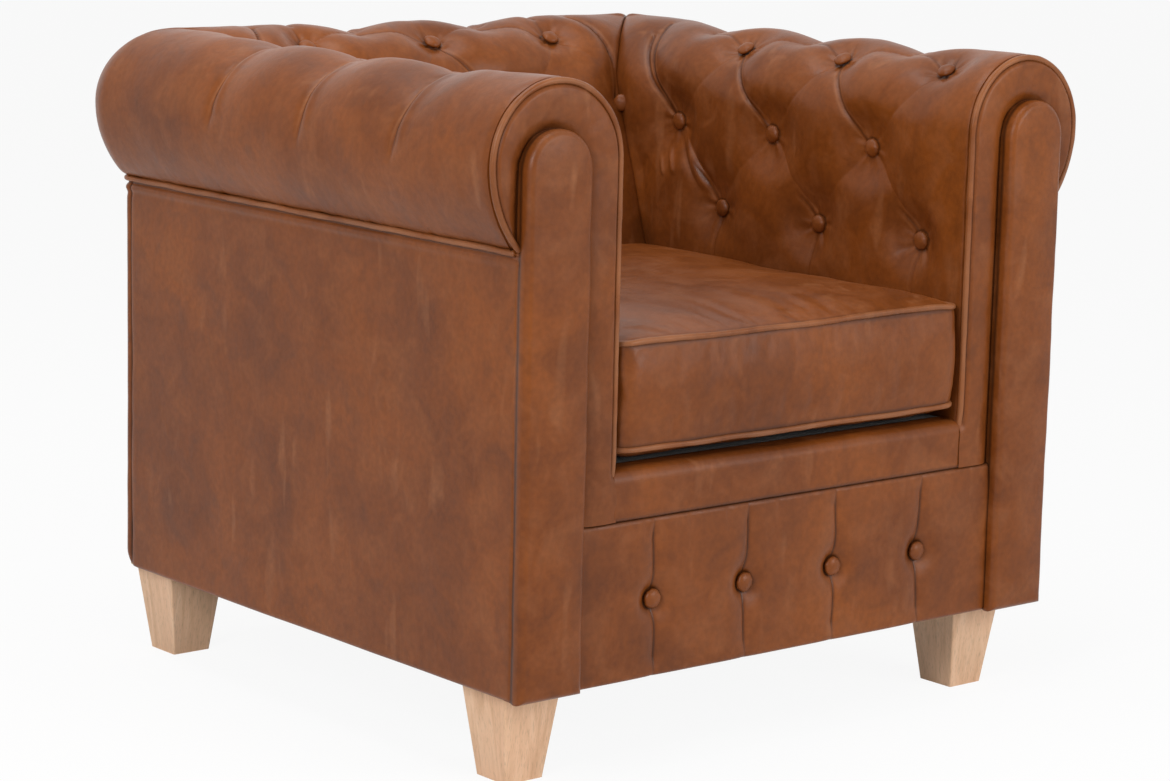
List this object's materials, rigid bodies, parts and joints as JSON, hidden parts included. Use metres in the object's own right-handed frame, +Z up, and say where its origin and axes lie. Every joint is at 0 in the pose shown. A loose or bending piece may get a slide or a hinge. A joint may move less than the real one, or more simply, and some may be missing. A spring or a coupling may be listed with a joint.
{
  "type": "chesterfield armchair",
  "caption": "Low chesterfield armchair with rolled arms and back at one height, buttoned inside, a loose seat cushion, a pleated front border and tapered wooden legs.",
  "frame": {"origin": "on the floor, under the middle of the chair's outer box", "axes": "+X to the viewer's right when facing the chair's front, +Y from the front to the back, +Z up"},
  "size_m": [0.805, 0.7585, 0.7],
  "materials": {
    "leather": "satin",
    "leg_wood": "satin",
    "frame_timber": "matte",
    "plywood": "matte",
    "hardboard": "matte",
    "foam": "matte",
    "steel": "satin",
    "black_cloth": "matte",
    "zip_tape": "matte",
    "zip_coil": "satin",
    "zip_metal": "satin"
  },
  "bodies": {
    "chair": {"arm_buttons_left": "leather", "arm_buttons_right": "leather", "arm_cover_left": "leather", "arm_cover_right": "leather", "arm_facing_left": "leather", "arm_facing_right": "leather", "arm_front_board_left": "plywood", "arm_front_board_right": "plywood", "arm_inside_foam": "foam", "arm_linings": "hardboard", "arm_roll_foam_left": "foam", "arm_roll_foam_right": "foam", "arm_tack_rails": "frame_timber", "arm_top_rails": "frame_timber", "back_buttons": "leather", "back_cover": "leather", "back_inside_foam": "foam", "back_lining": "hardboard", "back_roll_foam": "foam", "back_tack_rail": "frame_timber", "back_top_rail": "frame_timber", "border_buttons": "leather", "corner_buttons": "leather", "deck_cloth": "black_cloth", "deck_foam": "foam", "dust_cover": "black_cloth", "facing_piping_left": "leather", "facing_piping_right": "leather", "front_band": "leather", "front_border": "leather", "leg_blocks": "frame_timber", "leg_bolts": "steel", "leg_front_left": "leg_wood", "leg_front_right": "leg_wood", "leg_rear_left": "leg_wood", "leg_rear_right": "leg_wood", "leg_tee_nuts": "steel", "outside_arm_left": "leather", "outside_arm_right": "leather", "outside_back": "leather", "raised_panel_left": "leather", "raised_panel_right": "leather", "rear_posts": "frame_timber", "roll_welt": "leather", "seat_rail_front": "frame_timber", "seat_rail_left": "frame_timber", "seat_rail_rear": "frame_timber", "seat_rail_right": "frame_timber", "seat_springs": "steel", "spring_clips": "steel", "spring_sheet": "black_cloth"},
    "seat_cushion": {"cushion_core": "foam", "cushion_cover": "leather", "cushion_piping_high": "leather", "cushion_piping_low": "leather", "cushion_zip_coil": "zip_coil", "cushion_zip_tape": "zip_tape"},
    "zip_slider": {"zip_slider": "zip_metal"}
  },
  "joints": [
    {"name": "cushion_lift", "type": "slide", "parent": "chair", "child": "seat_cushion", "axis": [0, 0, 1], "range_m": [0, 0.4]},
    {"name": "zip_slide", "type": "slide", "parent": "seat_cushion", "child": "zip_slider", "axis": [1, 0, 0], "range_m": [0, 0.356]}
  ]
}
